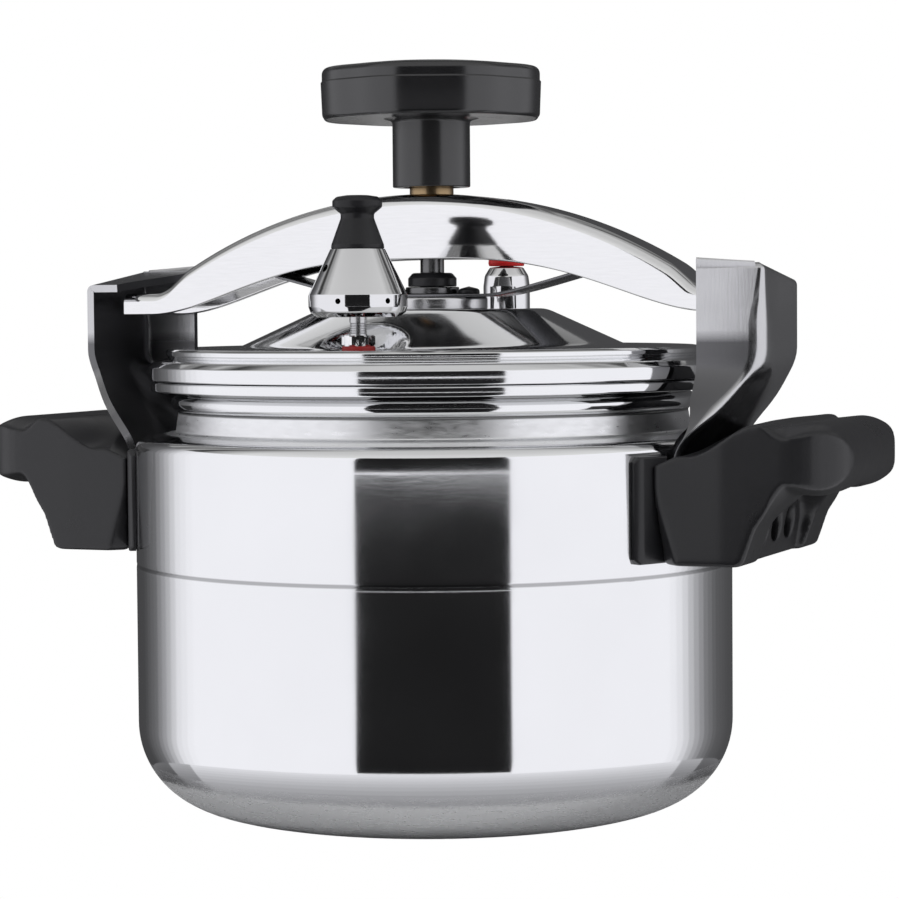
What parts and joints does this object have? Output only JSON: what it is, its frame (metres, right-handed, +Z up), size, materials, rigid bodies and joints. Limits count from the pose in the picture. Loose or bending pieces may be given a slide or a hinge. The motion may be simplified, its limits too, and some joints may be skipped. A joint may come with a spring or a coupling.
{
  "type": "pressure canner",
  "caption": "Clamp-type pressure canner: round pot and domed lid held by a bowed crossbar under two side brackets, with a screw knob, side handles, steam regulator and safety valve.",
  "frame": {"origin": "centre of the pot's base, on the surface it stands on", "axes": "+Z up the pot's axis, +X through one handle and along the crossbar, -Y towards the steam regulator"},
  "size_m": [0.303, 0.2, 0.2479],
  "materials": {
    "pot_aluminium": "mirror polished spun aluminium, brushed at the neck and base edge",
    "lid_aluminium": "mirror polished spun aluminium",
    "bright_steel": "polished stainless steel sheet",
    "bracket_chrome": "bright chromed steel sheet",
    "machined_steel": "turned steel, fine machining marks",
    "spring_steel": "satin spring steel",
    "blackened_steel": "black oxide, satin",
    "phenolic": "moulded black phenolic, semi-gloss with a fine grain",
    "knob_phenolic": "moulded black phenolic, semi-gloss",
    "brass": "turned brass, slightly dulled",
    "gasket_rubber": "matte black rubber",
    "red_silicone": "dark red silicone",
    "plug_red": "bright red moulded silicone",
    "weight_chrome": "chromed turned brass",
    "cap_black": "moulded black plastic, satin"
  },
  "bodies": {
    "pot": {"pot_body": "pot_aluminium", "bracket_right": "bracket_chrome", "bracket_left": "bracket_chrome", "bracket_rivets_right": "machined_steel", "bracket_rivets_left": "machined_steel", "handle_right": "phenolic", "handle_left": "phenolic", "handle_pad_right": "phenolic", "handle_pad_left": "phenolic", "handle_screws_right": "machined_steel", "handle_screws_left": "machined_steel"},
    "lid": {"lid": "lid_aluminium", "gasket": "gasket_rubber", "swivel_plate": "machined_steel", "plate_rivets": "blackened_steel", "leaf_spring": "spring_steel", "swivel_washer": "machined_steel", "vent_pipe": "machined_steel", "vent_washer": "red_silicone", "vent_nut": "bright_steel", "vent_locknut": "brass", "vent_filter": "machined_steel", "safety_valve_body": "weight_chrome", "safety_washer": "red_silicone", "safety_locknut": "brass", "safety_spring": "spring_steel"},
    "yoke": {"crossbar": "bright_steel", "yoke_nut": "machined_steel", "yoke_bush": "brass"},
    "screw": {"clamp_screw": "machined_steel", "screw_collar": "blackened_steel", "knob": "knob_phenolic", "knob_insert": "brass"},
    "weight": {"regulator_weight": "weight_chrome", "regulator_cap": "cap_black"},
    "plug": {"safety_plug": "plug_red"}
  },
  "joints": [
    {"name": "lid_turn", "type": "hinge", "parent": "pot", "child": "lid", "pos_m": [0, 0, 0.1427], "axis": [0, 0, 1], "range_deg": [0, 90]},
    {"name": "knob_turn", "type": "hinge", "parent": "lid", "child": "screw", "pos_m": [0, 0, 0.2], "axis": [0, 0, 1], "range_deg": [0, 864]},
    {"name": "yoke_rise", "type": "slide", "parent": "lid", "child": "yoke", "axis": [0, 0, 1], "range_m": [-0.006, 0], "deforming": ["leaf_spring"]},
    {"name": "weight_lift", "type": "slide", "parent": "lid", "child": "weight", "axis": [0, 0, 1], "range_m": [0, 0.03]},
    {"name": "plug_pop", "type": "slide", "parent": "lid", "child": "plug", "axis": [0, 0, 1], "range_m": [0, 0.003], "stiffness_N_per_m": 300, "deforming": ["safety_spring"]}
  ],
  "couplings": [
    {"joint": "yoke_rise", "follows": "knob_turn", "m_per_rad": -0.0003978}
  ]
}
